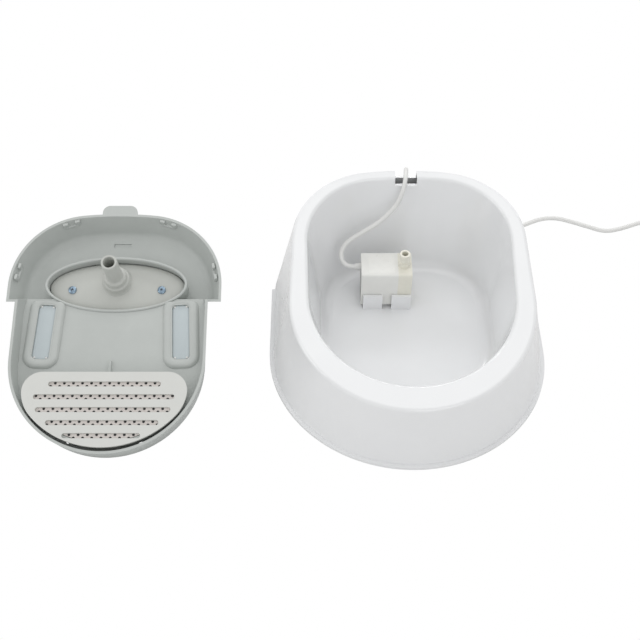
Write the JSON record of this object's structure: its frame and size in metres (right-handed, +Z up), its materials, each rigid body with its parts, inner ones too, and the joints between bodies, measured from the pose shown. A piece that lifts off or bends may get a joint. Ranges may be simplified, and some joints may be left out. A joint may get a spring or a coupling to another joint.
{
  "type": "pet water fountain",
  "caption": "Double-walled drinking bowl with an immersion pump on its lead, and the top cover with filter lying beside it upside down.",
  "frame": {"origin": "on the table, under the middle of the bowl's foot ring", "axes": "+Z up, +Y towards the rear of the bowl, +X to the right, away from the lying cover"},
  "size_m": [0.6525, 0.2861, 0.0994],
  "materials": {
    "bowl": "gloss white moulded ABS",
    "pump_case": "satin off-white moulded ABS",
    "pump_cover": "satin off-white moulded ABS, slightly yellowed",
    "laminations": "stacked electrical steel",
    "winding": "enamelled copper wire",
    "potting": "cast epoxy",
    "shaft": "polished ceramic",
    "magnet": "sintered ferrite",
    "impeller": "natural acetal",
    "rubber": "black nitrile",
    "suction_rubber": "translucent silicone",
    "label": "blank film",
    "cord": "white PVC",
    "tie": "white PVC strip",
    "pins": "nickel plated brass",
    "cover": "satin grey-green moulded ABS",
    "riser": "satin grey-green moulded ABS",
    "window": "frosted polycarbonate",
    "screw": "blue zinc plated steel",
    "filter_plate": "satin white moulded ABS",
    "filter_screen": "perforated PP sheet",
    "filter_pad": "carbon filled foam"
  },
  "bodies": {
    "bowl": {"bowl": "bowl", "pump_cradle": "bowl", "power_lead": "cord", "lead_coil": "cord", "coil_tie": "tie", "plug_lead": "cord", "plug_relief": "cord", "plug_body": "cord", "plug_pins": "pins"},
    "pump": {"pump_housing": "pump_case", "stator_core": "laminations", "stator_coil": "winding", "pump_end_cap": "potting", "cord_gland": "cord", "rotor_shaft": "shaft", "cover_seal": "rubber", "suction_feet": "suction_rubber", "blank_label": "label"},
    "chamber": {"chamber_cover": "pump_cover"},
    "rotor": {"rotor_magnet": "magnet", "impeller": "impeller"},
    "cover": {"top_cover": "cover", "window_left": "window", "window_right": "window", "riser_plate": "riser", "riser_collar": "riser", "riser_gasket": "rubber", "riser_screws": "screw"},
    "filter": {"filter_plate": "filter_plate", "filter_screen": "filter_screen", "filter_pad": "filter_pad"}
  },
  "joints": [
    {"name": "cover_lift", "type": "slide", "parent": "bowl", "child": "cover", "axis": [0, 0, 1], "range_m": [0, 0.15]},
    {"name": "filter_release", "type": "slide", "parent": "cover", "child": "filter", "axis": [0, -0.3186, 0.9479], "range_m": [0, 0.04]},
    {"name": "pump_lift", "type": "slide", "parent": "bowl", "child": "pump", "axis": [0, 0, 1], "range_m": [0, 0.11]},
    {"name": "chamber_pull", "type": "slide", "parent": "pump", "child": "chamber", "axis": [1, 0, 0], "range_m": [0, 0.025]},
    {"name": "rotor_spin", "type": "hinge", "parent": "pump", "child": "rotor", "pos_m": [-0.018, 0.047, 0.0272], "axis": [1, 0, 0], "continuous": true}
  ]
}
